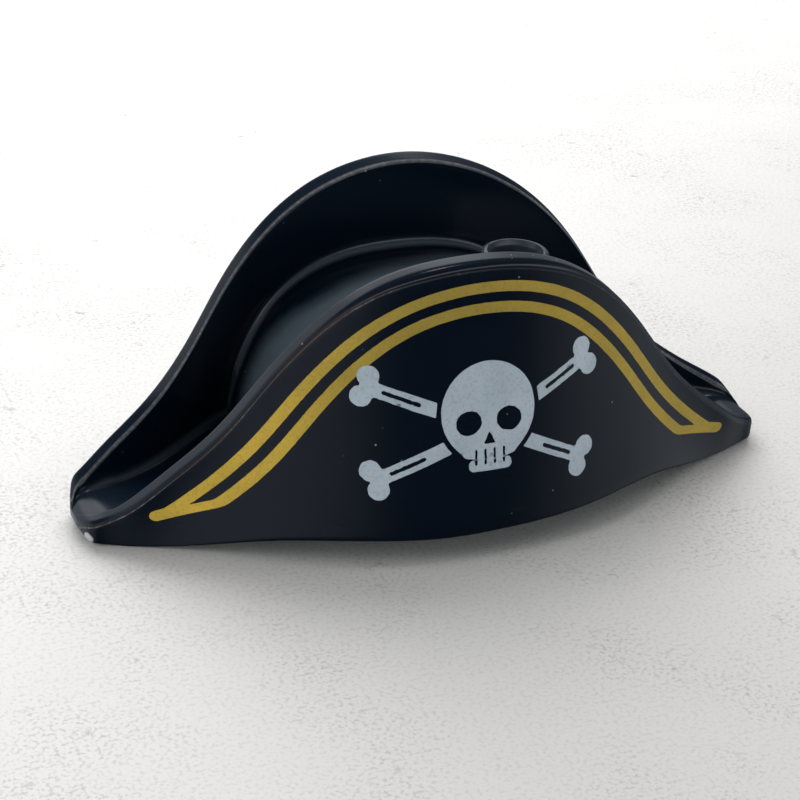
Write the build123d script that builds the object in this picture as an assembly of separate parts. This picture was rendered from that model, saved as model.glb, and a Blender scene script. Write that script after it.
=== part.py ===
"""Two-cornered pirate hat for a small toy figure: one plastic moulding and the ink printed on it.

The frame is in millimetres. X runs along the hat from tip to tip, -Y is the printed front,
and +Z is up. The origin lies under the middle of the hat, on the surface that the two tips rest on.
"""
from math import atan2, cos, degrees, hypot, pi, sin
import os

from build123d import *

# Stations of the moulding from its middle to a tip. Both halves of the hat are alike.
STATION_X = (0, 3, 6, 9, 10.5, 12, 13.5, 15, 16.2, 16.8, 17)
UNDERSIDE_Z = (1.1, 1.1, 1.1, 0.95, 0.7, 0.35, 0.1, 0, 0.08, 0.3, 0.45)
UNDERSIDE_HALF_WIDTH = (7.65, 7.45, 6.75, 5.5, 4.65, 3.7, 2.85, 2.15, 1.7, 1.3, 0.85)
FRONT_RIM_HALF_WIDTH = (5.1, 5.0, 4.5, 3.75, 3.45, 3.2, 2.9, 2.45, 1.85, 1.35, 0.85)
BACK_RIM_HALF_WIDTH = (5.6, 5.5, 5.0, 4.2, 3.85, 3.6, 3.2, 2.65, 1.95, 1.4, 0.85)
FRONT_RIM_Z = (13.05, 12.65, 11.1, 8.0, 6.05, 4.45, 3.15, 2.0, 1.3, 1.1, 1.0)
BACK_RIM_Z = (14.2, 13.75, 12.35, 9.25, 6.9, 4.95, 3.7, 2.75, 2.1, 1.5, 1.15)
TROUGH_FLOOR_Z = (2.2, 2.2, 2.2, 2.0, 1.7, 1.4, 1.2, 1.15, 1.5)

FLAP_THICKNESS = 1.0
UNDERSIDE_EDGE_RADIUS = 0.3
TROUGH_CORNER_RADIUS = 0.5
ABOVE_RIM = 2.0
CUT_HALF_DEPTH = 9.0

# The crown between the flaps is an arch, seen from the front.
CROWN_HALF_LENGTH = 8.4
CROWN_TOP_Z = 9.5
CROWN_ROUNDNESS = 2.6
CROWN_POINTS = 13

# The boss that holds the peg of a plume.
PLUME_X, PLUME_Y, PLUME_TOP_Z = 3.5, -0.8, 11.4
PLUME_BOSS_RADIUS = 1.55
PLUME_HOLE_RADIUS = 1.15
PLUME_HOLE_DEPTH = 2.8

# The seat for the figure's head: a barrel of 10.2 mm, with a stud of 4.8 mm on top.
HEAD_BORE_RADIUS = 5.15
HEAD_BORE_TOP_Z = 6.1
HEAD_BORE_CHAMFER = 0.3
STUD_SOCKET_RADIUS = 2.45
STUD_SOCKET_TOP_Z = 8.0

# The ink. The trim is a double stripe that follows the front flap's rim.
INK_THICKNESS = 0.06
TRIM_INSET = 0.86
TRIM_STRIPE = 0.46
TRIM_GAP = 0.42
TRIM_POINTS = 41
TRIM_CORNER = (11.0, 2.4)
TRIM_END = (13.9, 1.45)
TRIM_TIP_START, TRIM_TIP_END, TRIM_TIP_RADIUS = (12.4, 2.25), (13.97, 1.72), 0.25
TRIM_END_BAND = 0.42

# The emblem is a plain skull over two crossed bones, drawn on the front flap.
CRANIUM_Z, CRANIUM_RADIUS = 6.6, 2.2
CHEEK_HALF_WIDTH, CHEEK_TOP_Z, CHEEK_LOW_Z = 1.3, 5.8, 4.6
CHEEK_RADIUS = 0.35
EYE_X, EYE_Z, EYE_HALF_WIDTH, EYE_HALF_HEIGHT, EYE_TILT = 0.95, 6.15, 0.62, 0.55, -12
NOSE_TOP_Z, NOSE_LOW_Z, NOSE_HALF_WIDTH = 5.7, 5.15, 0.28
TOOTH_GAPS_X = (-0.66, -0.22, 0.22, 0.66)
TOOTH_GAP_WIDTH, TOOTH_GAP_TOP_Z = 0.12, 4.95
JAW_TOP_Z, JAW_LOW_Z, JAW_HALF_WIDTH, JAW_RADIUS = 4.47, 3.97, 1.0, 0.24

BONE_ENDS = {
    "upper_left_bone_print": (-5.45, 8.1),
    "upper_right_bone_print": (4.95, 8.15),
    "lower_left_bone_print": (-5.2, 3.95),
    "lower_right_bone_print": (4.6, 3.7),
}
BONES_CROSS_Z = 5.92
BONE_WIDTH = 0.63
BONE_KNOB_RADIUS = 0.46
BONE_KNOB_SPREAD = 0.46
BONE_GROOVE_WIDTH = 0.18
BONE_GROOVE_ENDS = (0.58, 0.86)
EMBLEM_CLEARANCE = 0.25


def stations(*columns, count=len(STATION_X)):
    """Rows of place and the given columns, from left to right, out to one station on each side."""
    right = list(zip(STATION_X, *columns))[:count]
    left = [(-row[0],) + row[1:] for row in right[:0:-1]]
    return left + right


def wall_y(low_z, low_width, rim_z, rim_width, z):
    """How far a flap's outer face stands from the middle plane at a height."""
    return low_width + (rim_width - low_width) * (z - low_z) / (rim_z - low_z)


def section(x, outline, corner_radius):
    """A four-sided section across the hat, with its two lower corners rounded."""
    face = make_face(Polyline(*outline, close=True))
    face = fillet(face.vertices().sort_by(Axis.Y)[:2], corner_radius)
    return Plane.YZ.offset(x) * face


def outer_body():
    """The hat filled in solid from its underside up to its two rims."""
    sections = []
    for x, low_z, low_width, front_width, back_width, front_z, back_z in stations(
        UNDERSIDE_Z, UNDERSIDE_HALF_WIDTH, FRONT_RIM_HALF_WIDTH, BACK_RIM_HALF_WIDTH, FRONT_RIM_Z, BACK_RIM_Z
    ):
        outline = [(-low_width, low_z), (-front_width, front_z), (back_width, back_z), (low_width, low_z)]
        sections.append(section(x, outline, UNDERSIDE_EDGE_RADIUS))
    return loft(sections)


def cavity():
    """The space between the two flaps, from tip to tip and out through the top."""
    sections = []
    for x, low_z, low_width, front_width, back_width, front_z, back_z, floor_z in stations(
        UNDERSIDE_Z, UNDERSIDE_HALF_WIDTH, FRONT_RIM_HALF_WIDTH, BACK_RIM_HALF_WIDTH, FRONT_RIM_Z,
        BACK_RIM_Z, TROUGH_FLOOR_Z, count=len(TROUGH_FLOOR_Z)
    ):
        high_z = back_z + ABOVE_RIM
        outline = []
        for z in (floor_z, high_z):
            outline.append((FLAP_THICKNESS - wall_y(low_z, low_width, front_z, front_width, z), z))
        for z in (high_z, floor_z):
            outline.append((wall_y(low_z, low_width, back_z, back_width, z) - FLAP_THICKNESS, z))
        sections.append(section(x, outline, TROUGH_CORNER_RADIUS))
    return loft(sections)


def crown():
    """The arch of the crown, long enough to reach through both flaps."""
    power = 2 / CROWN_ROUNDNESS
    turns = [pi / 2 * step / (CROWN_POINTS - 1) for step in range(CROWN_POINTS)]
    right = [(CROWN_HALF_LENGTH * cos(t) ** power, CROWN_TOP_Z * sin(t) ** power) for t in turns[:-1]]
    left = [(-x, z) for x, z in reversed(right)]
    arch = Spline(*right, (0, CROWN_TOP_Z), *left)
    face = make_face([arch, Line(arch @ 1, arch @ 0)])
    return extrude(Plane.XZ * face, amount=CUT_HALF_DEPTH, both=True)


def upright(radius, x, y, low_z, high_z):
    """An upright cylinder between two heights."""
    return Pos(x, y, (low_z + high_z) / 2) * Cylinder(radius, high_z - low_z)


def hat_moulding():
    """The one plastic moulding, with its flaps, crown, plume boss and the seat for the head."""
    body = outer_body() - (cavity() - crown())
    body += upright(PLUME_BOSS_RADIUS, PLUME_X, PLUME_Y, HEAD_BORE_TOP_Z, PLUME_TOP_Z)
    body -= upright(
        PLUME_HOLE_RADIUS, PLUME_X, PLUME_Y, PLUME_TOP_Z - PLUME_HOLE_DEPTH, PLUME_TOP_Z + 1
    )
    body -= upright(HEAD_BORE_RADIUS, 0, 0, -1, HEAD_BORE_TOP_Z)
    body -= upright(STUD_SOCKET_RADIUS, 0, 0, 0, STUD_SOCKET_TOP_Z)
    lead_in = Pos(0, 0, UNDERSIDE_Z[0]) * Cone(
        HEAD_BORE_RADIUS + 2 * HEAD_BORE_CHAMFER, HEAD_BORE_RADIUS, 2 * HEAD_BORE_CHAMFER
    )
    return body - lead_in


def inset_rim(inset):
    """The front rim's line, moved inwards by the given distance."""
    rim = Spline(*stations(FRONT_RIM_Z))
    points = []
    for step in range(TRIM_POINTS):
        place = rim @ (step / (TRIM_POINTS - 1))
        along = rim % (step / (TRIM_POINTS - 1))
        points.append((place.X + inset * along.Y, place.Y - inset * along.X))
    return Spline(*points)


def rim_band(inset, width):
    """A band of the given width that follows the front rim."""
    upper = inset_rim(inset)
    lower = inset_rim(inset + width)
    return make_face([upper, Line(upper @ 1, lower @ 1), lower, Line(lower @ 0, upper @ 0)])


def above_ends(raise_z):
    """The area above the two pennant ends of the trim, and between them."""
    right = [TRIM_CORNER, TRIM_END, (TRIM_END[0], 2 * FRONT_RIM_Z[0])]
    left = [(-x, z) for x, z in reversed(right)]
    return Pos(0, raise_z) * make_face(Polyline(*right, *left, close=True))


def trim_tip(side):
    """The blunt round tip of one pennant."""
    (start_x, start_z), (end_x, end_z) = TRIM_TIP_START, TRIM_TIP_END
    run, rise = side * (end_x - start_x), end_z - start_z
    middle = Pos(side * (start_x + end_x) / 2, (start_z + end_z) / 2)
    return middle * Rot(0, 0, degrees(atan2(rise, run))) * SlotCenterToCenter(hypot(run, rise), 2 * TRIM_TIP_RADIUS)


def trim_artwork():
    """The double stripe, whose two lines join in a pennant with a round tip at each end."""
    whole = rim_band(TRIM_INSET, 2 * TRIM_STRIPE + TRIM_GAP) & above_ends(0)
    for side in (-1, 1):
        whole += trim_tip(side)
    gap = rim_band(TRIM_INSET + TRIM_STRIPE, TRIM_GAP) & above_ends(TRIM_END_BAND)
    return whole - gap


def skull_outline(clearance):
    """The skull's outer shape without its jaw, grown by a clearance."""
    cheek_middle = (CHEEK_TOP_Z + CHEEK_LOW_Z) / 2
    cheeks = RectangleRounded(
        2 * (CHEEK_HALF_WIDTH + clearance), CHEEK_TOP_Z - CHEEK_LOW_Z + 2 * clearance, CHEEK_RADIUS
    )
    return Pos(0, CRANIUM_Z) * Circle(CRANIUM_RADIUS + clearance) + Pos(0, cheek_middle) * cheeks


def skull_artwork():
    """The cranium with eye sockets, a nose and gaps between the upper teeth."""
    art = skull_outline(0)
    for side in (-1, 1):
        socket = Rot(0, 0, side * EYE_TILT) * Ellipse(EYE_HALF_WIDTH, EYE_HALF_HEIGHT)
        art -= Pos(side * EYE_X, EYE_Z) * socket
    art -= make_face(
        Polyline((-NOSE_HALF_WIDTH, NOSE_LOW_Z), (0, NOSE_TOP_Z), (NOSE_HALF_WIDTH, NOSE_LOW_Z), close=True)
    )
    for x in TOOTH_GAPS_X:
        art -= Pos(x, CHEEK_LOW_Z) * Rectangle(TOOTH_GAP_WIDTH, 2 * (TOOTH_GAP_TOP_Z - CHEEK_LOW_Z))
    return art


def jaw_outline(clearance):
    """The lower jaw, grown by a clearance."""
    height = JAW_TOP_Z - JAW_LOW_Z
    bar = RectangleRounded(2 * (JAW_HALF_WIDTH + clearance), height + 2 * clearance, JAW_RADIUS)
    return Pos(0, JAW_LOW_Z + height / 2) * bar


def jaw_artwork():
    """The lower jaw, with gaps between its teeth."""
    art = jaw_outline(0)
    for x in TOOTH_GAPS_X:
        art -= Pos(x, JAW_TOP_Z) * Rectangle(TOOTH_GAP_WIDTH, JAW_TOP_Z - JAW_LOW_Z)
    return art


def bone_artwork(end):
    """One end of a crossed bone: a grooved shaft with two knobs, stopping short of the skull."""
    end_x, end_z = end
    rise = end_z - BONES_CROSS_Z
    reach = hypot(end_x, rise)
    bone = Pos(reach / 2, 0) * Rectangle(reach, BONE_WIDTH)
    for side in (-1, 1):
        bone += Pos(reach, side * BONE_KNOB_SPREAD) * Circle(BONE_KNOB_RADIUS)
    groove_start, groove_end = (reach * share for share in BONE_GROOVE_ENDS)
    bone -= Pos((groove_start + groove_end) / 2, 0) * SlotOverall(
        groove_end - groove_start, BONE_GROOVE_WIDTH
    )
    placed = Pos(0, BONES_CROSS_Z) * Rot(0, 0, degrees(atan2(rise, end_x))) * bone
    return placed - skull_outline(EMBLEM_CLEARANCE) - jaw_outline(EMBLEM_CLEARANCE)


def printed(artwork, body):
    """Ink of even depth on the front flap, in the shape of the artwork seen from the front."""
    stamp = extrude(Plane.XZ * artwork, amount=CUT_HALF_DEPTH)
    return (stamp & (Pos(0, -INK_THICKNESS, 0) * body)) - body


def main():
    """Write one file for each piece."""
    body = outer_body()
    pieces = {
        "hat_moulding": hat_moulding(),
        "gold_trim_print": printed(trim_artwork(), body),
        "skull_print": printed(skull_artwork(), body),
        "jaw_print": printed(jaw_artwork(), body),
    }
    for name, end in BONE_ENDS.items():
        pieces[name] = printed(bone_artwork(end), body)
    os.makedirs("parts", exist_ok=True)
    for name, piece in pieces.items():
        export_step(piece, f"parts/{name}.step")


main()
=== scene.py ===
"""Looks of the toy figure's pirate hat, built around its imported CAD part. Units are metres unless noted."""
import math

import bmesh
import bpy
import numpy as np
from mathutils import Matrix, Vector, noise
from mathutils.geometry import delaunay_2d_cdt


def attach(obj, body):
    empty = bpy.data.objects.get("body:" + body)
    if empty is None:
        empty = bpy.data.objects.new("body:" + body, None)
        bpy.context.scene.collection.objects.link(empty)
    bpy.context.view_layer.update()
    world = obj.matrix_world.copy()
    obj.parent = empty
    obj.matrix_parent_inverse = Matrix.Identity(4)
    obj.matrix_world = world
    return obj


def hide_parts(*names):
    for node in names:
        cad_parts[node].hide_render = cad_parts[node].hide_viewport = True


MM = 0.001

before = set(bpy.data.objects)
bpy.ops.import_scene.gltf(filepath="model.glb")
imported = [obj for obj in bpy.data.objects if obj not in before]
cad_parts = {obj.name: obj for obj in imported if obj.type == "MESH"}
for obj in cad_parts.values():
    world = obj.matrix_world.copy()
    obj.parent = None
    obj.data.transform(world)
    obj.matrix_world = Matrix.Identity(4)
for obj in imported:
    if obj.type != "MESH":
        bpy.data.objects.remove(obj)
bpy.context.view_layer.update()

# Shape of the moulding, in millimetres, at stations from the middle to a tip.
STATION_X = (0, 3, 6, 9, 10.5, 12, 13.5, 15, 16.2, 16.8, 17)
UNDERSIDE_Z = (1.1, 1.1, 1.1, 0.95, 0.7, 0.35, 0.1, 0, 0.08, 0.3, 0.45)
UNDERSIDE_HALF_WIDTH = (7.65, 7.45, 6.75, 5.5, 4.65, 3.7, 2.85, 2.15, 1.7, 1.3, 0.85)
FRONT_RIM_HALF_WIDTH = (5.1, 5.0, 4.5, 3.75, 3.45, 3.2, 2.9, 2.45, 1.85, 1.35, 0.85)
BACK_RIM_HALF_WIDTH = (5.6, 5.5, 5.0, 4.2, 3.85, 3.6, 3.2, 2.65, 1.95, 1.4, 0.85)
FRONT_RIM_Z = (13.05, 12.65, 11.1, 8.0, 6.05, 4.45, 3.15, 2.0, 1.3, 1.1, 1.0)
BACK_RIM_Z = (14.2, 13.75, 12.35, 9.25, 6.9, 4.95, 3.7, 2.75, 2.1, 1.5, 1.15)
FLOOR_Z = (2.2, 2.2, 2.2, 2.0, 1.7, 1.4, 1.2, 1.2, 1.4, 1.5, 1.5)

# The real hat is slightly uneven. Each bump has a height, and a place and a reach along the hat.
FRONT_RIM_BUMPS = ((0.28, -5.5, 3), (0.28, -10, 3), (0.2, -13.3, 1.8))
UNDERSIDE_BUMPS = ((0.22, 9, 3.5), (-0.12, -2, 3))

FLAP_THICKNESS, LOWER_EDGE_RADIUS = 1.0, 0.3
FRONT_OUTER_RADIUS, FRONT_INNER_RADIUS, FRONT_TOP_TILT = 0.36, 0.1, 0.02
BACK_OUTER_RADIUS, BACK_INNER_RADIUS = 0.16, 0.16
BACK_TOP_TILT, BACK_TOP_TILT_GROWTH, BACK_TOP_TILT_MOST = 0.17, 0.006, 0.34
FLOOR_FILLET, FLOOR_SOFTNESS, FLOOR_BELOW_RIM = 0.6, 0.12, 0.012
NOSE_X, NOSE_RADIUS, NOSE_END_SHARE = 16.98, 0.5, 0.42

# Changes toward the tips: how much, and between which distances from the middle.
FLAP_THINNING = (0.22, 3, 9)
LOWER_EDGE_SHARPENING = (0.18, 9, 13)
FRONT_TOP_SHARPENING = (0.14, 3, 7)
BACK_INNER_SOFTENING = (0.14, 4, 9)
TIP_SOFTENING = (0.3, 14.5, 16.5)

# How finely a cross-section is divided, from the front's lower edge up and over to the back's.
ARC_POINTS = (6, 7, 5, 9, 9, 5, 7, 6)
RUN_PIECES = (16, 4, 14, 22, 14, 4, 16, 20)

CROWN_HALF_LENGTH, CROWN_TOP_Z, CROWN_ROUNDNESS = 8.4, 9.5, 2.6

PLUME_X, PLUME_Y, PLUME_TOP_Z = 3.5, -0.8, 11.4
PLUME_BOSS_RADIUS, PLUME_HOLE_RADIUS, PLUME_HOLE_DEPTH = 1.55, 1.15, 2.8
PLUME_LOW_Z, PLUME_FLARE_Z, PLUME_FLARE_RADIUS, PLUME_EDGE_RADIUS = 8.2, 9.5, 0.3, 0.2
PLUME_COUNTERSINK = ((0, -0.3), (0.02, -0.2), (0.13, -0.03), (0.2, 0.6))

HEAD_BORE_RADIUS, HEAD_BORE_TOP_Z, HEAD_BORE_CHAMFER = 5.15, 6.1, 0.3
STUD_SOCKET_RADIUS, STUD_SOCKET_TOP_Z = 2.45, 8.0

# The ink, in millimetres.
TRIM_INSET, TRIM_STRIPE, TRIM_GAP = 0.86, 0.46, 0.42
TRIM_CORNER, TRIM_END, TRIM_END_BAND = (11.0, 2.4), (13.9, 1.45), 0.42
TRIM_TIP_START, TRIM_TIP_END, TRIM_TIP_RADIUS = (12.4, 2.25), (13.97, 1.72), 0.25
TRIM_ROUNDING, TRIM_GAP_ROUNDING, TRIM_LEFT_RISE = 0.12, 0.05, 0.10

BONE_ENDS = {
    "upper_left_bone_print": (-5.45, 8.1),
    "upper_right_bone_print": (4.95, 8.15),
    "lower_left_bone_print": (-5.2, 3.95),
    "lower_right_bone_print": (4.6, 3.7),
}
BONES_CROSS_Z = 5.92
BONE_HALF_WIDTH, BONE_ROUNDING, KNOB_RADIUS, KNOB_BLEND = 0.315, 0.02, 0.46, 0.12
BONE_SLOT_START, BONE_SLOT_END, BONE_SLOT_RADIUS = 0.58, 0.86, 0.09
SKULL_CLEARANCE = 0.25
GOLD_HEIGHT, WHITE_HEIGHT, INK_SUNK = 0.016, 0.028, 0.012
GOLD_RAGGED, WHITE_RAGGED = 0.010, 0.026
OUTLINE_STEP, OUTLINE_TOLERANCE, LONGEST_EDGE = 0.04, 0.004, 0.16
FILLING_STEP, FILLING_MARGIN = 0.3, 0.12

# The camera's yaw, lift and roll in degrees, and its target, distance and lens in millimetres.
CAMERA_ANGLES = (22.87, 26.97, 2.57)
CAMERA_TARGET = (-1.90, -1.0, 4.73)
CAMERA_DISTANCE = 100.27
CAMERA_LENS = 99

# The floor and the lights in metres and watts. Only the last light shows in the gloss.
FLOOR_HALF = 0.9
LIGHTS = (
    ("back_key", (0.045, 0.185, 0.165), (0.26, 0.28), 1.20, False),
    ("left_fill", (-0.24, -0.12, 0.20), (0.2, 0.2), 0.09, False),
    ("left_side", (-0.25, 0.04, 0.18), (0.2, 0.2), 0.34, False),
    ("right_side", (0.25, 0.04, 0.18), (0.2, 0.2), 0.24, False),
    ("small_lamp", (0.045, 0.03, 0.30), (0.05, 0.05), 0.05, True),
)

# Where the left nose is chipped, in metres, and how far out the surface is marked, in millimetres.
CHIP_PLACE = (-0.01655, -0.00135, 0.00042)
MARKED_END_X = 16.8


# ---------------------------------------------------------------- smooth curves through the stations

def station_curve(values):
    """A natural cubic spline through the stations of both halves, as a function of arrays of x."""
    xs = np.array([-x for x in STATION_X[:0:-1]] + list(STATION_X), float)
    ys = np.array(list(values[:0:-1]) + list(values), float)
    count = len(xs)
    step = np.diff(xs)
    matrix = np.eye(count)
    right = np.zeros(count)
    for i in range(1, count - 1):
        matrix[i, i - 1] = step[i - 1]
        matrix[i, i] = 2 * (step[i - 1] + step[i])
        matrix[i, i + 1] = step[i]
        right[i] = 6 * ((ys[i + 1] - ys[i]) / step[i] - (ys[i] - ys[i - 1]) / step[i - 1])
    bend = np.linalg.solve(matrix, right)

    def curve(x):
        x = np.clip(np.asarray(x, float), xs[0], xs[-1])
        i = np.clip(np.searchsorted(xs, x) - 1, 0, count - 2)
        a, b, h = xs[i + 1] - x, x - xs[i], step[i]
        return (
            (bend[i] * a ** 3 + bend[i + 1] * b ** 3) / (6 * h)
            + (ys[i] / h - bend[i] * h / 6) * a
            + (ys[i + 1] / h - bend[i + 1] * h / 6) * b
        )

    return curve


even_underside_z = station_curve(UNDERSIDE_Z)
underside_width = station_curve(UNDERSIDE_HALF_WIDTH)
front_width = station_curve(FRONT_RIM_HALF_WIDTH)
back_width = station_curve(BACK_RIM_HALF_WIDTH)
front_rim_z = station_curve(FRONT_RIM_Z)
back_rim_z = station_curve(BACK_RIM_Z)
trough_z = station_curve(FLOOR_Z)


def bumps(x, rows):
    """Height of a row of smooth bumps at a place along the hat."""
    return sum(height * np.exp(-((x - place) / reach) ** 2) for height, place, reach in rows)


def underside_z(x):
    """Height of the lower edge, which arches a little higher on the right."""
    return even_underside_z(x) + bumps(x, UNDERSIDE_BUMPS)


def left_lift(x):
    """How far the front rim's left shoulder stands above the right one."""
    return bumps(x, FRONT_RIM_BUMPS)


def front_face_y(x, z):
    """Where the front flap's outer face is, in millimetres."""
    low_z, low_y = underside_z(x), underside_width(x)
    return -(low_y + (front_width(x) - low_y) * (z - low_z) / (front_rim_z(x) + left_lift(x) - low_z))


def back_face_y(x, z):
    """Where the back flap's outer face is, in millimetres."""
    low_z, low_y = underside_z(x), underside_width(x)
    return low_y + (back_width(x) - low_y) * (z - low_z) / (back_rim_z(x) - low_z)


def crown_z(x):
    """Height of the crown's arch at a place along the hat, and zero beyond its ends."""
    share = np.clip(1 - (np.abs(x) / CROWN_HALF_LENGTH) ** CROWN_ROUNDNESS, 0, 1)
    return CROWN_TOP_Z * share ** (1 / CROWN_ROUNDNESS)


# ---------------------------------------------------------------- the moulding

def rounded_loop(corners, radii, counts, pieces):
    """Points round a polygon with rounded corners. Every loop made this way has the same number of points."""
    corners = [np.array(c, float) for c in corners]
    total = len(corners)
    arcs = []
    for i, corner in enumerate(corners):
        before, after = corners[i - 1] - corner, corners[(i + 1) % total] - corner
        reach_before, reach_after = np.linalg.norm(before) + 1e-9, np.linalg.norm(after) + 1e-9
        before, after = before / reach_before, after / reach_after
        half = 0.5 * math.acos(max(-1.0, min(1.0, float(before @ after))))
        run = radii[i] / max(math.tan(half), 1e-6)
        run = min(run, 0.46 * reach_before, 0.46 * reach_after)
        start, end = corner + before * run, corner + after * run
        weight = 1 / math.sin(max(half, 0.05))
        arc = []
        for k in range(counts[i]):
            t = k / max(counts[i] - 1, 1)
            blend = (1 - t) ** 2 * start + 2 * t * (1 - t) * corner / weight + t ** 2 * end
            arc.append(blend / ((1 - t) ** 2 + 2 * t * (1 - t) / weight + t ** 2))
        arcs.append(arc)
    points = []
    for i, arc in enumerate(arcs):
        points += arc
        end, start = arc[-1], arcs[(i + 1) % total][0]
        for k in range(1, pieces[i]):
            points.append(end + (start - end) * k / pieces[i])
    return points


def along_hat():
    """Places of the loops along the hat, closer together on the crown's steep ends and at the noses."""
    turns = np.linspace(0, math.pi / 2, 400)
    x = CROWN_HALF_LENGTH * np.cos(turns) ** (2 / CROWN_ROUNDNESS)
    z = CROWN_TOP_Z * np.sin(turns) ** (2 / CROWN_ROUNDNESS)
    run = np.concatenate([[0], np.cumsum(np.hypot(np.diff(x), np.diff(z)))])
    on_crown = np.interp(np.linspace(0, run[-1], 110), run, x)
    beyond = np.arange(CROWN_HALF_LENGTH + 0.03, NOSE_X - NOSE_RADIUS, 0.12)
    nose = NOSE_X - NOSE_RADIUS * (1 - np.sin(np.linspace(0, math.pi / 2, 9)))
    right = np.concatenate([on_crown, beyond, nose])
    right = np.unique(np.round(right[right > 0.02], 4))
    keep = [right[0]]
    for value in right[1:]:
        if value - keep[-1] > 0.012:
            keep.append(value)
    right = np.array(keep)
    return np.concatenate([-right[::-1], [0.0], right])


def toward_tip(x, amount, start, end):
    """From 0 to the amount between two distances from the middle."""
    return amount * np.clip((np.abs(x) - start) / (end - start), 0, 1)


def rim_thickness(x):
    """The flaps get thinner toward the tips."""
    return FLAP_THICKNESS - toward_tip(x, *FLAP_THINNING)


def back_top_tilt(x):
    """The back flap's top slopes toward the front, more at its sides."""
    return min(BACK_TOP_TILT + BACK_TOP_TILT_GROWTH * x * x, BACK_TOP_TILT_MOST)


def hat_loop(x):
    """One cross-section of the hat, from the underside round both flaps."""
    low_z, low_y = float(underside_z(x)), float(underside_width(x))
    front_y, front_z = -float(front_width(x)), float(front_rim_z(x)) + float(left_lift(x))
    back_y, back_z = float(back_width(x)), float(back_rim_z(x))
    thick = min(float(rim_thickness(x)), 0.62 * -front_y)
    inner_front_z = front_z + FRONT_TOP_TILT * thick
    inner_back_z = back_z - back_top_tilt(x) * thick
    floor = max(float(trough_z(x)), float(crown_z(x)))
    shallow = min(inner_front_z, inner_back_z) - FLOOR_BELOW_RIM
    floor = -FLOOR_SOFTNESS * math.log(sum(math.exp(-z / FLOOR_SOFTNESS) for z in (floor, shallow)))
    corners = [
        (-low_y, low_z), (front_y, front_z),
        (front_y + thick, inner_front_z), (front_face_y(x, floor) + thick, floor),
        (back_face_y(x, floor) - thick, floor), (back_y - thick, inner_back_z),
        (back_y, back_z), (low_y, low_z),
    ]
    lower_radius = LOWER_EDGE_RADIUS - toward_tip(x, *LOWER_EDGE_SHARPENING)
    front_radius = FRONT_OUTER_RADIUS - toward_tip(x, *FRONT_TOP_SHARPENING)
    back_radius = BACK_INNER_RADIUS + toward_tip(x, *BACK_INNER_SOFTENING)
    soften = toward_tip(x, *TIP_SOFTENING)
    radii = [
        lower_radius, front_radius, FRONT_INNER_RADIUS + soften, FLOOR_FILLET + 2 * soften,
        FLOOR_FILLET + 2 * soften, back_radius + soften, BACK_OUTER_RADIUS, LOWER_EDGE_RADIUS,
    ]
    loop = rounded_loop(corners, radii, ARC_POINTS, RUN_PIECES)
    past = (abs(x) - (NOSE_X - NOSE_RADIUS)) / NOSE_RADIUS
    if past > 0:
        shrink = NOSE_END_SHARE + (1 - NOSE_END_SHARE) * math.sqrt(max(0.0, 1 - past * past))
        middle = np.array([0.0, (low_z + min(front_z, floor)) / 2])
        loop = [middle + (p - middle) * shrink for p in loop]
    return loop


def new_object(name, verts, faces, material):
    """A mesh object from points in millimetres."""
    mesh = bpy.data.meshes.new(name)
    mesh.from_pydata([Vector(v) * MM for v in verts], [], faces)
    mesh.validate()
    mesh.update()
    obj = bpy.data.objects.new(name, mesh)
    bpy.context.scene.collection.objects.link(obj)
    if material:
        mesh.materials.append(material)
    return obj


def lofted_hat(material):
    """The hat's outside and its trough as one closed grid of quads."""
    places = along_hat()
    loops = [hat_loop(float(x)) for x in places]
    size = len(loops[0])
    verts = [(float(x), float(p[0]), float(p[1])) for x, loop in zip(places, loops) for p in loop]
    faces = []
    for i in range(len(loops) - 1):
        for j in range(size):
            k = (j + 1) % size
            faces.append((i * size + j, i * size + k, (i + 1) * size + k, (i + 1) * size + j))
    faces.append(tuple(range(size))[::-1])
    last = (len(loops) - 1) * size
    faces.append(tuple(range(last, last + size)))
    hat = new_object("hat_body", verts, faces, material)
    recalculate(hat)
    return hat


def recalculate(obj):
    """Faces turned outwards."""
    mesh = bmesh.new()
    mesh.from_mesh(obj.data)
    bmesh.ops.recalc_face_normals(mesh, faces=mesh.faces)
    mesh.to_mesh(obj.data)
    mesh.free()
    obj.data.update()


def turned(name, profile, centre, segments=96):
    """A closed solid turned round an upright axis, from points of radius and height."""
    verts, faces = [], []
    for k in range(segments):
        angle = 2 * math.pi * k / segments
        for radius, z in profile:
            verts.append((centre[0] + radius * math.cos(angle), centre[1] + radius * math.sin(angle), z))
    rows = len(profile)
    for k in range(segments):
        after = (k + 1) % segments
        for i in range(rows - 1):
            faces.append((k * rows + i, after * rows + i, after * rows + i + 1, k * rows + i + 1))
    faces.append(tuple(k * rows for k in range(segments))[::-1])
    faces.append(tuple(k * rows + rows - 1 for k in range(segments)))
    obj = new_object(name, verts, faces, None)
    recalculate(obj)
    return obj


def arc(centre_r, centre_z, radius, start, end, count):
    """Profile points on an arc, with angles in degrees."""
    angles = [math.radians(start + (end - start) * k / (count - 1)) for k in range(count)]
    return [(centre_r + radius * math.cos(a), centre_z + radius * math.sin(a)) for a in angles]


def apply_boolean(obj, tool, operation):
    """Adds or takes away the tool, for good."""
    modifier = obj.modifiers.new("cut", "BOOLEAN")
    modifier.operation = operation
    modifier.solver = "EXACT"
    modifier.object = tool
    graph = bpy.context.evaluated_depsgraph_get()
    mesh = bpy.data.meshes.new_from_object(obj.evaluated_get(graph))
    obj.modifiers.clear()
    old = obj.data
    obj.data = mesh
    bpy.data.meshes.remove(old)
    bpy.data.objects.remove(tool)


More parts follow.
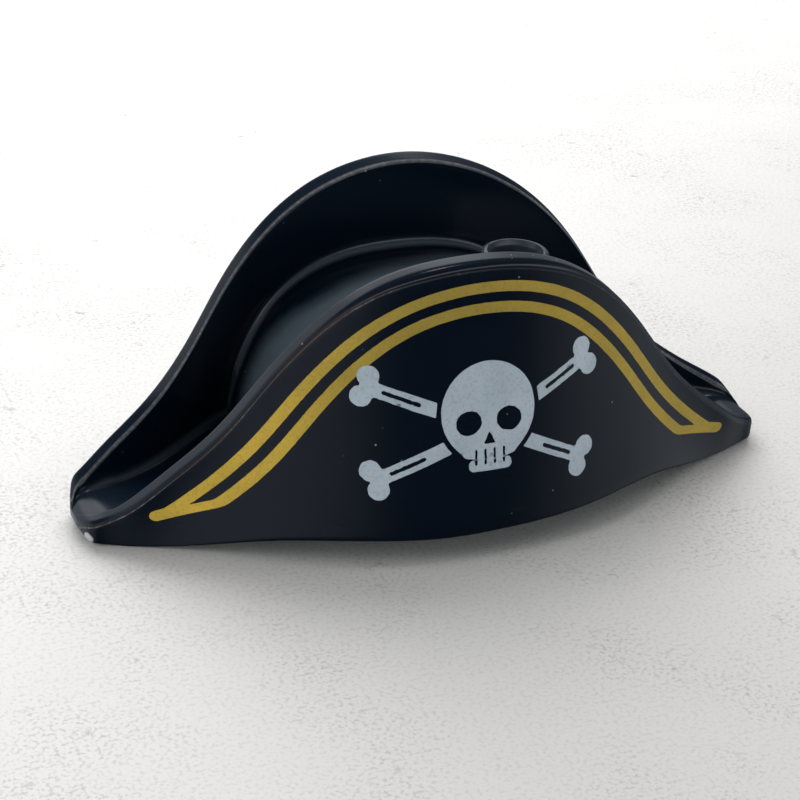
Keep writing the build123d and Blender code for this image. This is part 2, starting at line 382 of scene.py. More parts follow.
def make_hat(material):
    """The lofted hat with its plume boss, and with its three bores cut out."""
    hat = lofted_hat(material)
    r, h = PLUME_BOSS_RADIUS, PLUME_TOP_Z
    flare = arc(r + PLUME_FLARE_RADIUS, PLUME_FLARE_Z, PLUME_FLARE_RADIUS, 250, 180, 6)
    edge = arc(r - PLUME_EDGE_RADIUS, h - PLUME_EDGE_RADIUS, PLUME_EDGE_RADIUS, 0, 90, 6)
    boss = [(r + 0.18, PLUME_LOW_Z)] + flare + edge + [(0.4, h)]
    apply_boolean(hat, turned("boss", boss, (PLUME_X, PLUME_Y)), "UNION")
    r = PLUME_HOLE_RADIUS
    hole = [(r, h - PLUME_HOLE_DEPTH)] + [(r + wider, h + higher) for wider, higher in PLUME_COUNTERSINK]
    apply_boolean(hat, turned("hole", hole, (PLUME_X, PLUME_Y)), "DIFFERENCE")
    r, low = HEAD_BORE_RADIUS, UNDERSIDE_Z[0]
    bore = [
        (r + HEAD_BORE_CHAMFER + 0.5, low - 0.5), (r, low + HEAD_BORE_CHAMFER),
        (r, HEAD_BORE_TOP_Z), (STUD_SOCKET_RADIUS, HEAD_BORE_TOP_Z),
        (STUD_SOCKET_RADIUS, STUD_SOCKET_TOP_Z),
    ]
    apply_boolean(hat, turned("bore", bore, (0, 0), 128), "DIFFERENCE")
    hat.data.shade_smooth()
    hat.data.set_sharp_from_angle(angle=math.radians(38))
    return hat


# ---------------------------------------------------------------- the ink

def rough(x, z, scale, seed):
    """Smooth noise between about -1 and 1."""
    return noise.noise(Vector((x / scale, z / scale, seed)))


def rim_line():
    """Points on the front rim's line."""
    x = np.linspace(-16.5, 16.5, 661)
    return np.stack([x, front_rim_z(x)], 1)


RIM = rim_line()


def below_rim(points):
    """Distance of each point below the front rim's line."""
    result = np.empty(len(points))
    a, b = RIM[:-1], RIM[1:]
    along = b - a
    length = (along ** 2).sum(1)
    for start in range(0, len(points), 4000):
        p = points[start:start + 4000, None, :]
        t = np.clip(((p - a) * along).sum(2) / length, 0, 1)
        result[start:start + 4000] = np.sqrt((((a + t[..., None] * along) - p) ** 2).sum(2).min(1))
    return np.where(points[:, 1] > front_rim_z(points[:, 0]), -result, result)


def smooth_max(a, b, radius):
    """The larger of two distances, with the corner between them rounded off."""
    u = np.maximum(a + radius, 0)
    v = np.maximum(b + radius, 0)
    return np.minimum(-radius, np.maximum(a, b)) + np.hypot(u, v)


def box_distance(p, centre, half, rounding):
    q = np.abs(p - np.array(centre)) - (np.array(half) - rounding)
    return np.hypot(*np.maximum(q, 0).T) + np.minimum(q.max(1), 0) - rounding


def circle_distance(p, centre, radius):
    return np.hypot(*(p - np.array(centre)).T) - radius


def turned_points(p, centre, degrees):
    """The points seen from a frame that sits at the centre and is turned by the angle."""
    c, s = math.cos(math.radians(degrees)), math.sin(math.radians(degrees))
    q = p - np.array(centre)
    return np.stack([q[:, 0] * c + q[:, 1] * s, -q[:, 0] * s + q[:, 1] * c], 1)


def ellipse_distance(p, centre, half, degrees):
    q = turned_points(p, centre, degrees) / np.array(half)
    reach = np.hypot(*q.T)
    return (reach - 1) * min(half)


def capsule_distance(p, start, end, radius):
    start, end = np.array(start), np.array(end)
    along = end - start
    t = np.clip(((p - start) @ along) / (along @ along), 0, 1)
    return np.hypot(*(p - (start + t[:, None] * along)).T) - radius


def pennant_distance(p, raised):
    """Distance beyond the lines that close the two ends of the trim."""
    (cx, cz), (tx, tz) = TRIM_CORNER, TRIM_END
    slope = (tz - cz) / (tx - cx)
    line = cz + raised + slope * (np.abs(p[:, 0]) - cx)
    return np.maximum((line - p[:, 1]) / math.hypot(1, slope), np.abs(p[:, 0]) - tx)


def trim_field(p):
    """Negative inside the double stripe."""
    depth = below_rim(p) + TRIM_LEFT_RISE * np.clip((-p[:, 0] - 2) / 4, 0, 1)
    whole_width = 2 * TRIM_STRIPE + TRIM_GAP
    whole = np.abs(depth - TRIM_INSET - whole_width / 2) - whole_width / 2
    whole = smooth_max(whole, pennant_distance(p, 0), TRIM_ROUNDING)
    mirrored = np.stack([np.abs(p[:, 0]), p[:, 1]], 1)
    whole = np.minimum(whole, capsule_distance(mirrored, TRIM_TIP_START, TRIM_TIP_END, TRIM_TIP_RADIUS))
    gap = np.abs(depth - TRIM_INSET - TRIM_STRIPE - TRIM_GAP / 2) - TRIM_GAP / 2
    gap = smooth_max(gap, pennant_distance(p, TRIM_END_BAND), TRIM_GAP_ROUNDING)
    return np.maximum(whole, -gap)


def skull_outline_field(p):
    cranium = circle_distance(p, (0, 6.6), 2.2)
    cheeks = box_distance(p, (0, 5.2), (1.3, 0.62), 0.3)
    return np.minimum(cranium, cheeks)


def skull_field(p):
    """A plain skull seen from the front, without its jaw."""
    art = skull_outline_field(p)
    for side in (-1, 1):
        art = np.maximum(art, -ellipse_distance(p, (side * 0.95, 6.15), (0.62, 0.55), side * -12))
    q = np.abs(p[:, 0]) - 0.28 * (5.72 - p[:, 1]) / 0.55
    nose = np.maximum(q * 0.9, 5.15 - p[:, 1])
    art = np.maximum(art, -nose)
    for x in (-0.66, -0.22, 0.22, 0.66):
        art = np.maximum(art, -box_distance(p, (x, 4.6), (0.06, 0.35), 0.05))
    return art


def jaw_outline_field(p):
    return box_distance(p, (0, 4.22), (1.0, 0.25), 0.2)


def jaw_field(p):
    art = jaw_outline_field(p)
    for x in (-0.66, -0.22, 0.22, 0.66):
        art = np.maximum(art, -box_distance(p, (x, 4.47), (0.06, 0.25), 0.05))
    return art


def bone_field(end):
    """One visible end of a crossed bone."""
    middle = (0, BONES_CROSS_Z)
    reach = math.hypot(end[0], end[1] - BONES_CROSS_Z)
    turn = math.degrees(math.atan2(end[1] - BONES_CROSS_Z, end[0]))

    def field(p):
        q = turned_points(p, middle, turn)
        art = box_distance(q, (reach / 2, 0), (reach / 2, BONE_HALF_WIDTH), BONE_ROUNDING)
        for side in (-1, 1):
            knob = circle_distance(q, (reach, side * KNOB_RADIUS), KNOB_RADIUS)
            art = -smooth_max(-art, -knob, KNOB_BLEND)
        slot = (reach * BONE_SLOT_START, 0), (reach * BONE_SLOT_END, 0)
        art = np.maximum(art, -capsule_distance(q, *slot, BONE_SLOT_RADIUS))
        clear = np.minimum(skull_outline_field(p), jaw_outline_field(p))
        return np.maximum(art, SKULL_CLEARANCE - clear)

    return field


def bone_box(end):
    """The part of the flap, in millimetres, that one end of a bone can reach."""
    x, z = end
    low_x, high_x = sorted((math.copysign(0.9, x), x + math.copysign(1.3, x)))
    low_z, high_z = sorted((BONES_CROSS_Z, z + math.copysign(1.3, z - BONES_CROSS_Z)))
    return low_x, low_z - 0.6, high_x, high_z + 0.6


def contour_loops(field, box, step, ragged, seed):
    """Closed outlines of a printed shape, found on a fine grid, with the ragged edge of real ink."""
    x0, z0, x1, z1 = box
    xs = np.arange(x0, x1 + step, step)
    zs = np.arange(z0, z1 + step, step)
    gx, gz = np.meshgrid(xs, zs, indexing="ij")
    points = np.stack([gx.ravel(), gz.ravel()], 1)
    values = field(points)
    near = np.abs(values) < 4 * step + ragged
    for i in np.nonzero(near)[0]:
        x, z = points[i]
        wave = rough(x, z, 0.16, seed) + 0.6 * rough(x, z, 0.07, seed + 5)
        values[i] += ragged * wave
    values[values == 0] = 1e-6
    v = values.reshape(gx.shape)
    links, place = {}, {}

    def crossing(a, b):
        """The name of the grid edge between two points, once the outline's place on it is known."""
        key = (min(a, b), max(a, b))
        if key not in place:
            t = v[a] / (v[a] - v[b])
            place[key] = (xs[a[0]] + t * (xs[b[0]] - xs[a[0]]), zs[a[1]] + t * (zs[b[1]] - zs[a[1]]))
        return key

    inside = v < 0
    mixed = inside[:-1, :-1].astype(int) + inside[1:, :-1] + inside[1:, 1:] + inside[:-1, 1:]
    for i, j in zip(*np.nonzero((mixed > 0) & (mixed < 4))):
        ring = [(i, j), (i + 1, j), (i + 1, j + 1), (i, j + 1)]
        cuts = []
        for a, b in zip(ring, ring[1:] + ring[:1]):
            if inside[a] != inside[b]:
                cuts.append((crossing(a, b), bool(inside[a])))
        if len(cuts) == 4 and not cuts[0][1]:
            cuts = cuts[1:] + cuts[:1]
        for (first, leaving), (second, _) in zip(cuts[::2], cuts[1::2]):
            if leaving:
                links[first] = second
            else:
                links[second] = first
    loops = []
    while links:
        start, current = next(iter(links.items()))
        loop = [start]
        del links[start]
        while current != start and current in links:
            loop.append(current)
            current = links.pop(current)
        if len(loop) > 8:
            loops.append([place[key] for key in loop])
    return loops


def thinned(loop, tolerance):
    """The loop without points that lie on the line between their neighbours."""
    kept = [loop[0]]
    for i in range(1, len(loop) - 1):
        a, b, p = np.array(kept[-1]), np.array(loop[i + 1]), np.array(loop[i])
        run = b - a
        off = abs(run[0] * (p - a)[1] - run[1] * (p - a)[0]) / (np.hypot(*run) + 1e-9)
        if off > tolerance or np.hypot(*(p - a)) > LONGEST_EDGE:
            kept.append(loop[i])
    kept.append(loop[-1])
    return kept


def make_print(name, field, box, material, height, ragged, seed):
    """A skin of ink, a few hundredths of a millimetre thick, that lies on the front flap."""
    loops = contour_loops(field, box, OUTLINE_STEP, ragged, seed)
    points, edges = [], []
    for loop in [thinned(loop, OUTLINE_TOLERANCE) for loop in loops]:
        start = len(points)
        points += [Vector(p) for p in loop]
        edges += [(start + i, start + (i + 1) % len(loop)) for i in range(len(loop))]
    x0, z0, x1, z1 = box
    columns, rows = np.arange(x0, x1, FILLING_STEP), np.arange(z0, z1, FILLING_STEP)
    filling = np.array([(x, z) for x in columns for z in rows])
    for p, value in zip(filling, field(filling)):
        if value < -FILLING_MARGIN:
            points.append(Vector(p))
    verts, _, triangles, *_ = delaunay_2d_cdt(points, edges, [], 0, 1e-5)
    flat = np.array([v[:] for v in verts])
    middles = np.array([flat[list(t)].mean(0) for t in triangles])
    values = field(middles)
    keep = [t for t, value in zip(triangles, values) if value < ragged * 0.6]
    used = sorted({i for t in keep for i in t})
    number = {old: new for new, old in enumerate(used)}
    x, z = flat[used, 0], flat[used, 1]
    y = front_face_y(x, z)
    tiny = 1e-3
    normal = np.stack([
        (front_face_y(x + tiny, z) - y) / tiny, -np.ones_like(y), (front_face_y(x, z + tiny) - y) / tiny,
    ], 1)
    normal /= np.linalg.norm(normal, axis=1)[:, None]
    base = np.stack([x, y, z], 1)
    count = len(used)
    upper = base + normal * height
    lower = base - normal * INK_SUNK
    top = [tuple(number[i] for i in t) for t in keep]
    sides = {}
    for a, b, c in top:
        for pair in ((a, b), (b, c), (c, a)):
            sides[pair] = True
    faces = list(top)
    faces += [(c + count, b + count, a + count) for a, b, c in top]
    for a, b in sides:
        if (b, a) not in sides:
            faces.append((b, a, a + count, b + count))
    obj = new_object(name, np.concatenate([upper, lower]).tolist(), faces, material)
    recalculate(obj)
    obj.data.shade_smooth()
    obj.data.set_sharp_from_angle(angle=math.radians(40))
    return obj


# ---------------------------------------------------------------- node helpers

def new_material(name):
    mat = bpy.data.materials.new(name)
    mat.use_nodes = True
    tree = mat.node_tree
    return mat, tree, tree.nodes["Principled BSDF"]


def object_place(tree):
    """The place on the object, in metres, as a vector and as its three numbers."""
    coords = tree.nodes.new("ShaderNodeTexCoord").outputs["Object"]
    split = tree.nodes.new("ShaderNodeSeparateXYZ")
    tree.links.new(coords, split.inputs["Vector"])
    return coords, split.outputs


def noise_node(tree, coords, scale, detail=4.0, roughness=0.55):
    """Smooth noise, with the scale in cells per metre."""
    node = tree.nodes.new("ShaderNodeTexNoise")
    node.inputs["Scale"].default_value = scale
    node.inputs["Detail"].default_value = detail
    node.inputs["Roughness"].default_value = roughness
    tree.links.new(coords, node.inputs["Vector"])
    return node.outputs["Fac"]


def cell_distance(tree, coords, scale):
    """Distance from the middle of the nearest random cell."""
    node = tree.nodes.new("ShaderNodeTexVoronoi")
    node.inputs["Scale"].default_value = scale
    tree.links.new(coords, node.inputs["Vector"])
    return node.outputs["Distance"]


def vector_measure(tree, coords, operation, other):
    """The dot product of a vector with another one, or its distance from it."""
    node = tree.nodes.new("ShaderNodeVectorMath")
    node.operation = operation
    node.inputs[1].default_value = other
    tree.links.new(coords, node.inputs[0])
    return node.outputs["Value"]


def attribute(tree, name):
    node = tree.nodes.new("ShaderNodeAttribute")
    node.attribute_name = name
    return node.outputs["Fac"]


def ramp(tree, source, low, high, low_value=0.0, high_value=1.0, shape="LINEAR"):
    """The source mapped from the range low to high, and held beyond its ends."""
    node = tree.nodes.new("ShaderNodeMapRange")
    node.interpolation_type = shape
    node.inputs["From Min"].default_value = low
    node.inputs["From Max"].default_value = high
    node.inputs["To Min"].default_value = low_value
    node.inputs["To Max"].default_value = high_value
    tree.links.new(source, node.inputs["Value"])
    return node.outputs["Result"]


def math_node(tree, operation, a, b):
    node = tree.nodes.new("ShaderNodeMath")
    node.operation = operation
    for i, value in enumerate((a, b)):
        if isinstance(value, (int, float)):
            node.inputs[i].default_value = value
        else:
            tree.links.new(value, node.inputs[i])
    return node.outputs[0]


def times(tree, a, b):
    return math_node(tree, "MULTIPLY", a, b)


def plus(tree, a, b):
    return math_node(tree, "ADD", a, b)


def band(tree, source, start, full, fading, end):
    """A mask that rises from start to full and falls from fading to end."""
    return times(tree, ramp(tree, source, start, full), ramp(tree, source, end, fading))


def mix_colour(tree, factor, a, b):
    node = tree.nodes.new("ShaderNodeMix")
    node.data_type = "RGBA"
    tree.links.new(factor, node.inputs["Factor"])
    for socket, value in ((node.inputs[6], a), (node.inputs[7], b)):
        if isinstance(value, tuple):
            socket.default_value = value
        else:
            tree.links.new(value, socket)
    return node.outputs[2]


def bump(tree, height, strength, distance, after=None):
    node = tree.nodes.new("ShaderNodeBump")
    node.inputs["Strength"].default_value = strength
    node.inputs["Distance"].default_value = distance
    tree.links.new(height, node.inputs["Height"])
    if after:
        tree.links.new(after, node.inputs["Normal"])
    return node.outputs["Normal"]


# ---------------------------------------------------------------- materials

def scratches(tree, coords):
    """A few fine handling scratches in several directions, as a mask."""
    total = None
    for turn, scale, cut in ((25, 900, 0.715), (-40, 1100, 0.72), (80, 800, 0.725)):
        mapping = tree.nodes.new("ShaderNodeMapping")
        mapping.inputs["Rotation"].default_value = (0.2, math.radians(turn), 0.4)
        mapping.inputs["Scale"].default_value = (0.05, 1.0, 1.0)
        tree.links.new(coords, mapping.inputs["Vector"])
        lines = noise_node(tree, mapping.outputs["Vector"], scale, 2.0, 0.5)
        mask = ramp(tree, lines, cut, cut + 0.03)
        total = mask if total is None else math_node(tree, "MAXIMUM", total, mask)
    return total


def plastic_material():
    """Glossy black plastic that has been handled: a dusty film that also paints sheen and highlights, a
    painted highlight along the back rim's inner crease, a dark red tint on the front rim, worn lines that
    also paint a crease highlight, a chip, dust and fine scratches.
    """
    mat, tree, shader = new_material("black_plastic_gloss")
    coords, place = object_place(tree)
    mottle = noise_node(tree, coords, 350, 5.0)
    smudge = noise_node(tree, coords, 120, 4.0)
    speckle = ramp(tree, noise_node(tree, coords, 5200, 2.0), 0.47, 0.60)
    leftward = ramp(tree, place["X"], 0.002, -0.006)
    depth = attribute(tree, "rim_depth")

    # A dusty film on the crown, the noses and the plume ring. It also paints sheen on the crown's top and a
    # highlight along the crown's fillet.
    haze_and_painted_sheen = times(tree, attribute(tree, "dust_and_painted_sheen"), ramp(tree, mottle, 0.2, 0.7, 0.75, 1.1))
    # A painted highlight along the back rim's inner crease, broken up by speckle.
    painted_back_crease_highlight = band(tree, attribute(tree, "back_edge"), 0.76, 0.9, 0.98, 1.08)
    painted_back_crease_highlight = times(tree, painted_back_crease_highlight, ramp(tree, speckle, 0.0, 1.0, 0.6, 1.0))
    # A dark red tint in a band just below the front rim, on its left part.
    reddish_rim_tint = times(tree, band(tree, depth, 0.02, 0.12, 0.3, 0.42), ramp(tree, smudge, 0.42, 0.62))
    reddish_rim_tint = times(tree, reddish_rim_tint, leftward)

    off_middle = math_node(tree, "ABSOLUTE", place["X"], 0.0)
    edge = plus(tree, depth, ramp(tree, off_middle, 0.003, 0.007, 0.0, 0.14))
    patches = ramp(tree, noise_node(tree, coords, 300, 2.0), 0.42, 0.58)
    near_nose = ramp(tree, place["X"], -0.0125, -0.0140)
    scuffed = times(tree, speckle, math_node(tree, "MAXIMUM", near_nose, patches))
    # A light line where the front rim's rounding meets the face, mostly on the left. It is partly speckled
    # scuffs and partly a painted highlight along that crease.
    scuffs_and_painted_crease_highlight = band(tree, edge, 0.31, 0.35, 0.38, 0.42)
    scuffs_and_painted_crease_highlight = times(tree, scuffs_and_painted_crease_highlight, ramp(tree, scuffed, 0.0, 1.0, 0.3, 1.0))
    scuffs_and_painted_crease_highlight = times(tree, scuffs_and_painted_crease_highlight, ramp(tree, leftward, 0.0, 1.0, 0.35, 1.0))

    from_chip = vector_measure(tree, coords, "DISTANCE", CHIP_PLACE)
    from_chip = plus(tree, from_chip, ramp(tree, mottle, 0.3, 0.7, -0.00012, 0.00012))
    dust_where = ramp(tree, noise_node(tree, coords, 260, 2.0), 0.60, 0.68)
    dust = times(tree, ramp(tree, cell_distance(tree, coords, 1700), 0.10, 0.05), dust_where)
    scratch = scratches(tree, coords)

    colour = mix_colour(tree, mottle, (0.0013, 0.0044, 0.0108, 1), (0.0022, 0.0068, 0.0150, 1))
    colour = mix_colour(tree, haze_and_painted_sheen, colour, (0.054, 0.073, 0.088, 1))
    colour = mix_colour(tree, painted_back_crease_highlight, colour, (0.120, 0.127, 0.135, 1))
    colour = mix_colour(tree, reddish_rim_tint, colour, (0.030, 0.012, 0.011, 1))
    colour = mix_colour(tree, ramp(tree, from_chip, 0.00030, 0.00022), colour, (0.45, 0.46, 0.47, 1))
    colour = mix_colour(tree, scuffs_and_painted_crease_highlight, colour, (0.16, 0.165, 0.17, 1))
    colour = mix_colour(tree, times(tree, dust, 0.8), colour, (0.35, 0.36, 0.37, 1))
    tree.links.new(colour, shader.inputs["Base Color"])

    roughness = plus(tree, ramp(tree, smudge, 0.3, 0.75, 0.16, 0.24), times(tree, scratch, 0.12))
    roughness = plus(tree, roughness, times(tree, dust, 0.4))
    tree.links.new(roughness, shader.inputs["Roughness"])

    normal = bump(tree, noise_node(tree, coords, 1400, 2.0), 0.05, 0.00006)
    normal = bump(tree, noise_node(tree, coords, 180, 2.0), 0.08, 0.0002, normal)
    normal = bump(tree, math_node(tree, "SUBTRACT", 1.0, scratch), 0.10, 0.00002, normal)
    tree.links.new(normal, shader.inputs["Normal"])
    shader.inputs["IOR"].default_value = 1.5
    shader.inputs["Specular IOR Level"].default_value = 0.36
    return mat


def ink_material(name, light, dark, bare, pin_scale, pin_cut, roughness_range, painted_ink_shade_strength):
    """Printed ink with pinholes where the black shows through. Except at the left, painted shade darkens it
    toward the black.
    """
    mat, tree, shader = new_material(name)
    coords, place = object_place(tree)
    cloud = noise_node(tree, coords, 500, 5.0)
    grain = noise_node(tree, coords, 8000, 3.0)
    # Painted shade: the ink darkens toward the black from the left part of the hat to the middle, and eases a
    # little toward the right.
    painted_ink_shade = ramp(tree, place["X"], -0.0105, -0.0045, 0.0, 1.3 * painted_ink_shade_strength)
    painted_ink_shade_easing = ramp(tree, place["X"], -0.0005, 0.0045, 0.0, 0.3 * painted_ink_shade_strength)
    pinhole_where = ramp(tree, noise_node(tree, coords, 320, 2.0), pin_cut, pin_cut + 0.05)
    pinhole = times(tree, ramp(tree, cell_distance(tree, coords, pin_scale), 0.17, 0.12), pinhole_where)

    colour = mix_colour(tree, ramp(tree, cloud, 0.3, 0.7), dark, light)
    colour = mix_colour(tree, math_node(tree, "SUBTRACT", painted_ink_shade, painted_ink_shade_easing), colour, bare)
    colour = mix_colour(tree, times(tree, ramp(tree, grain, 0.50, 0.30), 0.3), colour, bare)
    colour = mix_colour(tree, pinhole, colour, bare)
    tree.links.new(colour, shader.inputs["Base Color"])
    tree.links.new(ramp(tree, grain, 0.3, 0.7, *roughness_range), shader.inputs["Roughness"])
    height = math_node(tree, "SUBTRACT", grain, times(tree, pinhole, 2.0))
    tree.links.new(bump(tree, height, 0.25, 0.00002), shader.inputs["Normal"])
    return mat


def floor_material():
    """Pale paper with specks and grain. Painted shade makes it darker grey toward the front right."""
    mat, tree, shader = new_material("pale_floor")
    coords, _ = object_place(tree)
    speck = noise_node(tree, coords, 1500, 3.0, 0.6)
    patches = ramp(tree, noise_node(tree, coords, 120, 4.0, 0.65), 0.45, 0.62)
    dots = times(tree, ramp(tree, speck, 0.40, 0.26), patches)
    grain = ramp(tree, noise_node(tree, coords, 5200, 3.0), 0.50, 0.36)
    grain = times(tree, grain, ramp(tree, patches, 0.0, 1.0, 0.16, 0.42))
    marks = math_node(tree, "MAXIMUM", times(tree, dots, 0.7), grain)
    # Painted shade that darkens the floor's colour toward the front right.
    across = vector_measure(tree, coords, "DOT_PRODUCT", (0.8, -0.6, 0.0))
    floor_painted_shade = ramp(tree, across, -0.020, 0.034, 0.0, 0.55)

    broad = noise_node(tree, coords, 40, 4.0)
    colour = mix_colour(tree, broad, (0.59, 0.58, 0.567, 1), (0.67, 0.66, 0.646, 1))
    colour = mix_colour(tree, floor_painted_shade, colour, (0.27, 0.262, 0.253, 1))
    colour = mix_colour(tree, marks, colour, (0.17, 0.16, 0.15, 1))
    tree.links.new(colour, shader.inputs["Base Color"])
    shader.inputs["Roughness"].default_value = 0.75
    tree.links.new(bump(tree, speck, 0.25, 0.00006), shader.inputs["Normal"])
    return mat


def unit_step(value, width):
    """Rises from 0 to 1 as the value goes from 0 to the width."""
    return np.clip(value / width, 0, 1)


def mark_surface(obj):
    """Stores, for the plastic material, the depth below the front rim, the dust with its painted sheen and
    painted fillet highlight, and the back rim's edge.
    """
    mesh = obj.data
    co = np.empty(len(mesh.vertices) * 3)
    mesh.vertices.foreach_get("co", co)
    x, y, z = co.reshape(-1, 3).T / MM
    x = np.clip(x, -MARKED_END_X, MARKED_END_X)
    inward = np.maximum(y - front_face_y(x, z), 0)
    back_share = 1 - (back_face_y(x, z) - y) / rim_thickness(x)

    rim_depth = front_rim_z(x) + left_lift(x) - z
    rim_depth = np.where(inward > 0.6, -1, rim_depth - 0.6 * inward)

    # Dust on the crown's top, which also paints the grey sheen of the glossy top.
    dust_and_sheen_end_y = 3.0 + 0.26 * np.clip(x + 4, 0, 6) + 0.45 * np.clip(-5 - x, 0, 2)
    dust = unit_step(dust_and_sheen_end_y - y, 1.3) * unit_step(0.5 - np.abs(z - crown_z(x)), 0.4)
    dust *= unit_step(inward - 1.1, 0.3)
    # A faint film on the trough floor at the noses: dust, and painted sheen.
    at_nose = unit_step(np.abs(x) - 13.2, 1.5) * unit_step(0.6 - np.abs(z - trough_z(x)), 0.4)
    dust = np.maximum(dust, 0.08 * at_nose * unit_step(inward - 0.9, 0.3))

    # A painted highlight along the fillet where the crown meets the back flap.
    crown_end = unit_step(np.abs(x) - 6.2, 1.2) * (np.abs(x) < 8.3)
    above_floor = z - np.maximum(crown_z(x), trough_z(x)) - 0.2
    from_flap = (back_share + 0.2 + 0.1 * crown_end) / (0.13 + 0.1 * crown_end)
    painted_fillet_highlight = np.exp(-from_flap ** 2 - (above_floor / (0.2 + 0.4 * crown_end)) ** 2)
    dust = np.maximum(dust, (0.6 + 0.7 * (np.abs(x) < 8)) * painted_fillet_highlight) * (back_share < 0.5)
    # The top of the plume ring is lightened as well.
    on_ring = (np.hypot(x - PLUME_X, y - PLUME_Y) < 1.7) * unit_step(z - 10.7, 0.3)
    dust = np.maximum(dust, 0.5 * on_ring)

    # How far across the back rim's top a point lies. This places the painted highlight along its inner
    # crease.
    back_edge = 1 - back_share + 0.5 * np.maximum(back_rim_z(x) - 0.2 - z, 0)
    back_edge = np.where(back_share > 0.7, -1, back_edge)
    back_edge = np.where(back_share < -0.4, 3, back_edge)
    for name, values in (("rim_depth", rim_depth), ("dust_and_painted_sheen", dust), ("back_edge", back_edge)):
        layer = mesh.attributes.new(name, "FLOAT", "POINT")
        layer.data.foreach_set("value", values.astype(np.float32))


# ---------------------------------------------------------------- the object

plastic = plastic_material()
gold = ink_material(
    "gold_ink_print", (0.70, 0.465, 0.046, 1), (0.55, 0.365, 0.032, 1), (0.08, 0.088, 0.012, 1),
    900, 0.58, (0.45, 0.62), 0.36,
)
white = ink_material(
    "white_ink_print", (0.52, 0.60, 0.67, 1), (0.42, 0.50, 0.57, 1), (0.12, 0.15, 0.18, 1),
    1300, 0.56, (0.45, 0.65), 0.04,
)

hat = make_hat(plastic)
hat.name = "moulded_hat"
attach(hat, "root")
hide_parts("hat_moulding")
mark_surface(hat)

# Each print's name, field, box in millimetres, ink, raggedness and seed.
PRINTS = {
    "gold_trim_print": ("gold_trim_ink", trim_field, (-15.2, 0.6, 15.2, 12.6), gold, GOLD_RAGGED, 1.0),
    "skull_print": ("skull_ink", skull_field, (-2.6, 4.2, 2.6, 9.2), white, WHITE_RAGGED, 2.0),
    "jaw_print": ("jaw_ink", jaw_field, (-1.3, 3.6, 1.3, 4.8), white, WHITE_RAGGED, 3.0),
}
for number, (node, end) in enumerate(BONE_ENDS.items()):
    name = node.replace("_print", "_ink")
    PRINTS[node] = (name, bone_field(end), bone_box(end), white, WHITE_RAGGED, 4.0 + number)
for node, (name, field, box, ink, ragged, seed) in PRINTS.items():
    height = GOLD_HEIGHT if ink is gold else WHITE_HEIGHT
    skin = make_print(name, field, box, ink, height, ragged, seed)
    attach(skin, "root")
    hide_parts(node)


# ---------------------------------------------------------------- floor, light and camera

def make_floor():
    mesh = bpy.data.meshes.new("floor")
    corners = [(sx * FLOOR_HALF, sy * FLOOR_HALF, 0) for sx, sy in ((-1, -1), (1, -1), (1, 1), (-1, 1))]
    mesh.from_pydata(corners, [], [(0, 1, 2, 3)])
    floor = bpy.data.objects.new("floor", mesh)
    mesh.materials.append(floor_material())
    floor.visible_glossy = False
    bpy.context.scene.collection.objects.link(floor)


def area_light(name, place, size, power, in_gloss):
    """A rectangular light that faces the origin."""
    data = bpy.data.lights.new(name, "AREA")
    data.shape = "RECTANGLE"
    data.size, data.size_y = size
    data.energy = power
    light = bpy.data.objects.new(name, data)
    light.location = place
    light.rotation_euler = (-Vector(place)).to_track_quat("-Z", "Y").to_euler()
    light.visible_glossy = in_gloss
    bpy.context.scene.collection.objects.link(light)


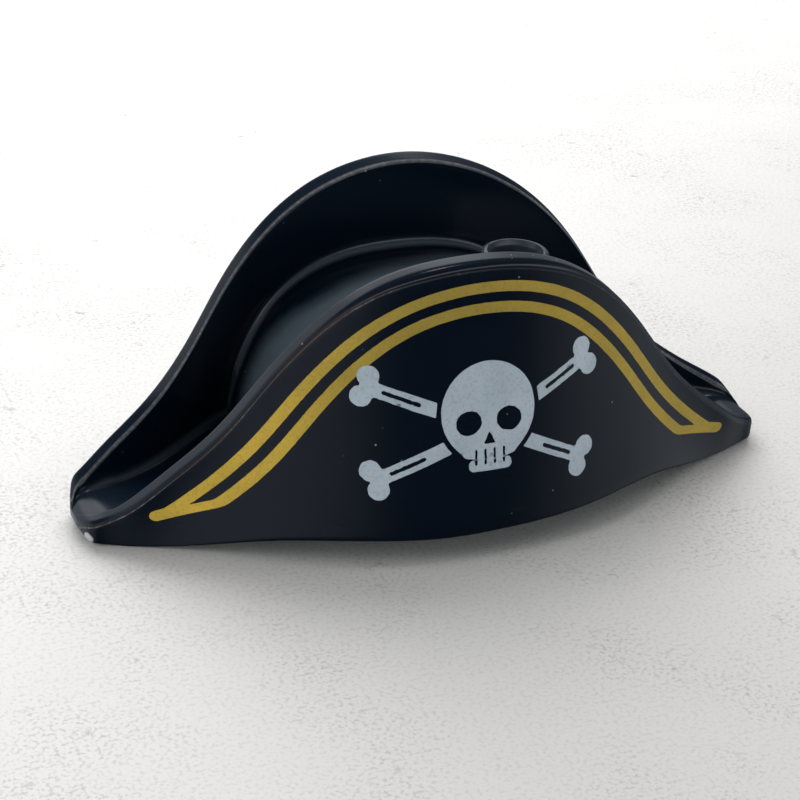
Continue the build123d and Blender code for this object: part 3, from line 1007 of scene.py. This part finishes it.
def make_world():
    """A dim room with a bright backdrop, side walls, and a strip of window light in front."""
    world = bpy.data.worlds.new("studio")
    bpy.context.scene.world = world
    world.use_nodes = True
    tree = world.node_tree
    toward = tree.nodes.new("ShaderNodeTexCoord").outputs["Generated"]
    split = tree.nodes.new("ShaderNodeSeparateXYZ")
    tree.links.new(toward, split.inputs[0])
    height = split.outputs["Z"]

    def lobe(direction, low, high, strength):
        """Light from round a direction, from nothing to its strength as the cosine goes from low to high."""
        cosine = vector_measure(tree, toward, "DOT_PRODUCT", Vector(direction).normalized())
        return ramp(tree, cosine, low, high, 0.0, strength, "SMOOTHSTEP")

    high, low = lobe((0.1, 0.82, 0.55), 0.88, 0.985, 0.85), lobe((-0.5, 0.85, 0.15), 0.1, 0.9, 0.75)
    ceiling = lobe((0, 0, 1), 0.4, 0.9, 0.12)
    window = times(tree, band(tree, height, 0.16, 0.26, 0.36, 0.46), lobe((0.3, -0.95, 0), 0.3, 0.8, 2.2))
    walls = plus(tree, lobe((-0.85, -0.5, -0.1), 0.5, 1.0, 0.5), lobe((0.97, -0.2, -0.1), 0.6, 1.0, 0.45))
    total = times(tree, ramp(tree, height, 0.52, 0.68, 1.0, 0.0), plus(tree, high, low))
    for light in (ceiling, window, walls):
        total = plus(tree, total, light)
    background = tree.nodes["Background"]
    tree.links.new(plus(tree, total, 0.03), background.inputs["Strength"])
    background.inputs["Color"].default_value = (0.93, 0.97, 1.0, 1)


def make_camera():
    """The camera looks at its target from the front left and above, and is turned a little about its axis."""
    yaw, lift, roll = (math.radians(angle) for angle in CAMERA_ANGLES)
    target = Vector(CAMERA_TARGET) * MM
    back = Vector((-math.sin(yaw) * math.cos(lift), -math.cos(yaw) * math.cos(lift), math.sin(lift)))
    level_right = (-back).cross(Vector((0, 0, 1))).normalized()
    level_up = level_right.cross(-back)
    right = math.cos(roll) * level_right + math.sin(roll) * level_up
    up = -math.sin(roll) * level_right + math.cos(roll) * level_up
    place = target + back * CAMERA_DISTANCE * MM
    data = bpy.data.cameras.new("camera")
    data.sensor_width = 36
    data.lens = CAMERA_LENS
    data.clip_start, data.clip_end = 0.005, 5
    camera = bpy.data.objects.new("camera", data)
    camera.matrix_world = Matrix((
        (right.x, up.x, back.x, place.x),
        (right.y, up.y, back.y, place.y),
        (right.z, up.z, back.z, place.z),
        (0, 0, 0, 1),
    ))
    bpy.context.scene.collection.objects.link(camera)
    bpy.context.scene.camera = camera


make_floor()
for name, place, size, power, in_gloss in LIGHTS:
    area_light(name, place, size, power, in_gloss)
make_world()
make_camera()
bpy.context.scene.view_settings.view_transform = "Standard"
